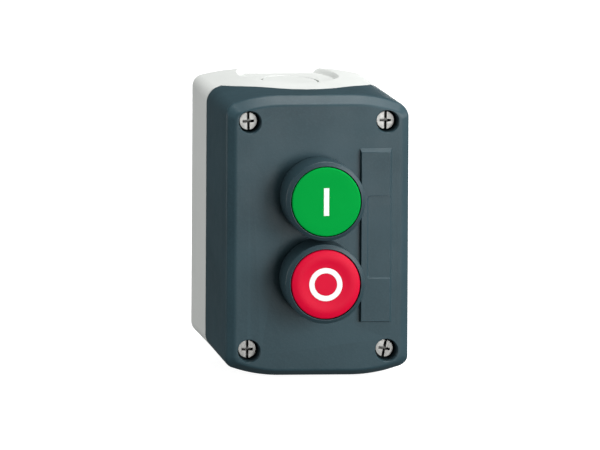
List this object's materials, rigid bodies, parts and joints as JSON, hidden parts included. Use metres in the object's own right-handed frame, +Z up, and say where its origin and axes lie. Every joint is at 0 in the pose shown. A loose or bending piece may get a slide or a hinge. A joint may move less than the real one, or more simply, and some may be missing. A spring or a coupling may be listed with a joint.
{
  "type": "push button control station",
  "caption": "Wall-mounted control station: light grey base, anthracite cover with raised label strip, green start and red stop flush push buttons.",
  "frame": {"origin": "centre of the flat rear face that lies against the wall", "axes": "+Z up, +X to the right when facing the buttons, -Y out of the front face"},
  "size_m": [0.068, 0.0627, 0.106],
  "materials": {
    "light_grey_plastic": "fine textured moulded plastic",
    "anthracite_plastic": "fine textured moulded plastic",
    "dark_plastic": "plain moulded plastic",
    "black_plastic": "plain moulded plastic",
    "green_plastic": "satin moulded plastic",
    "red_plastic": "satin moulded plastic",
    "white_plastic": "satin moulded plastic",
    "natural_nylon": "plain moulded nylon",
    "black_rubber": "soft moulded rubber",
    "zinc_steel": "zinc plated steel",
    "spring_steel": "drawn stainless wire",
    "contact_brass": "stamped strip"
  },
  "bodies": {
    "enclosure": {"rear_base": "light_grey_plastic", "front_cover": "anthracite_plastic", "cover_gasket": "black_rubber", "cover_screw_upper_left": "zinc_steel", "retaining_washer_upper_left": "natural_nylon", "cover_screw_upper_right": "zinc_steel", "retaining_washer_upper_right": "natural_nylon", "cover_screw_lower_left": "zinc_steel", "retaining_washer_lower_left": "natural_nylon", "cover_screw_lower_right": "zinc_steel", "retaining_washer_lower_right": "natural_nylon", "green_collar": "anthracite_plastic", "green_collar_gasket": "black_rubber", "green_fixing_nut": "dark_plastic", "green_return_spring": "spring_steel", "green_stem_seal": "black_rubber", "red_collar": "anthracite_plastic", "red_collar_gasket": "black_rubber", "red_fixing_nut": "dark_plastic", "red_return_spring": "spring_steel", "red_stem_seal": "black_rubber", "start_contact_housing": "black_plastic", "start_terminal_left": "contact_brass", "start_terminal_screw_left": "zinc_steel", "start_terminal_right": "contact_brass", "start_terminal_screw_right": "zinc_steel", "stop_contact_housing": "black_plastic", "stop_terminal_left": "contact_brass", "stop_terminal_screw_left": "zinc_steel", "stop_terminal_right": "contact_brass", "stop_terminal_screw_right": "zinc_steel"},
    "green_button": {"green_button_cap": "green_plastic", "start_bar": "white_plastic", "green_plunger": "natural_nylon"},
    "red_button": {"red_button_cap": "red_plastic", "stop_ring": "white_plastic", "red_plunger": "natural_nylon"},
    "start_contact_plunger": {"start_contact_plunger": "natural_nylon"},
    "start_contact_bridge": {"start_contact_bridge": "contact_brass", "start_contact_spring": "spring_steel"},
    "stop_contact_plunger": {"stop_contact_plunger": "natural_nylon"},
    "stop_contact_bridge": {"stop_contact_bridge": "contact_brass", "stop_contact_spring": "spring_steel"}
  },
  "joints": [
    {"name": "start_press", "type": "slide", "parent": "enclosure", "child": "green_button", "axis": [0, 1, 0], "range_m": [0, 0.0043], "stiffness_N_per_m": 500, "springref_m": -0.003, "deforming": ["green_return_spring"]},
    {"name": "start_contact_plunger_slide", "type": "slide", "parent": "enclosure", "child": "start_contact_plunger", "axis": [0, 1, 0], "range_m": [0, 0.0045], "deforming": ["start_contact_spring"]},
    {"name": "start_contact_bridge_slide", "type": "slide", "parent": "enclosure", "child": "start_contact_bridge", "axis": [0, 1, 0], "range_m": [0, 0.00278]},
    {"name": "stop_press", "type": "slide", "parent": "enclosure", "child": "red_button", "axis": [0, 1, 0], "range_m": [0, 0.0043], "stiffness_N_per_m": 500, "springref_m": -0.003, "deforming": ["red_return_spring"]},
    {"name": "stop_contact_plunger_slide", "type": "slide", "parent": "enclosure", "child": "stop_contact_plunger", "axis": [0, 1, 0], "range_m": [0, 0.0045], "deforming": ["stop_contact_spring"]},
    {"name": "stop_contact_bridge_slide", "type": "slide", "parent": "enclosure", "child": "stop_contact_bridge", "axis": [0, 1, 0], "range_m": [0, 0.003]}
  ],
  "couplings": [
    {"joint": "start_contact_plunger_slide", "follows": "start_press", "ratio": 1},
    {"joint": "start_contact_bridge_slide", "follows": "start_press", "ratio": 0.6},
    {"joint": "stop_contact_plunger_slide", "follows": "stop_press", "ratio": 1},
    {"joint": "stop_contact_bridge_slide", "follows": "stop_press", "ratio": 0.65}
  ]
}
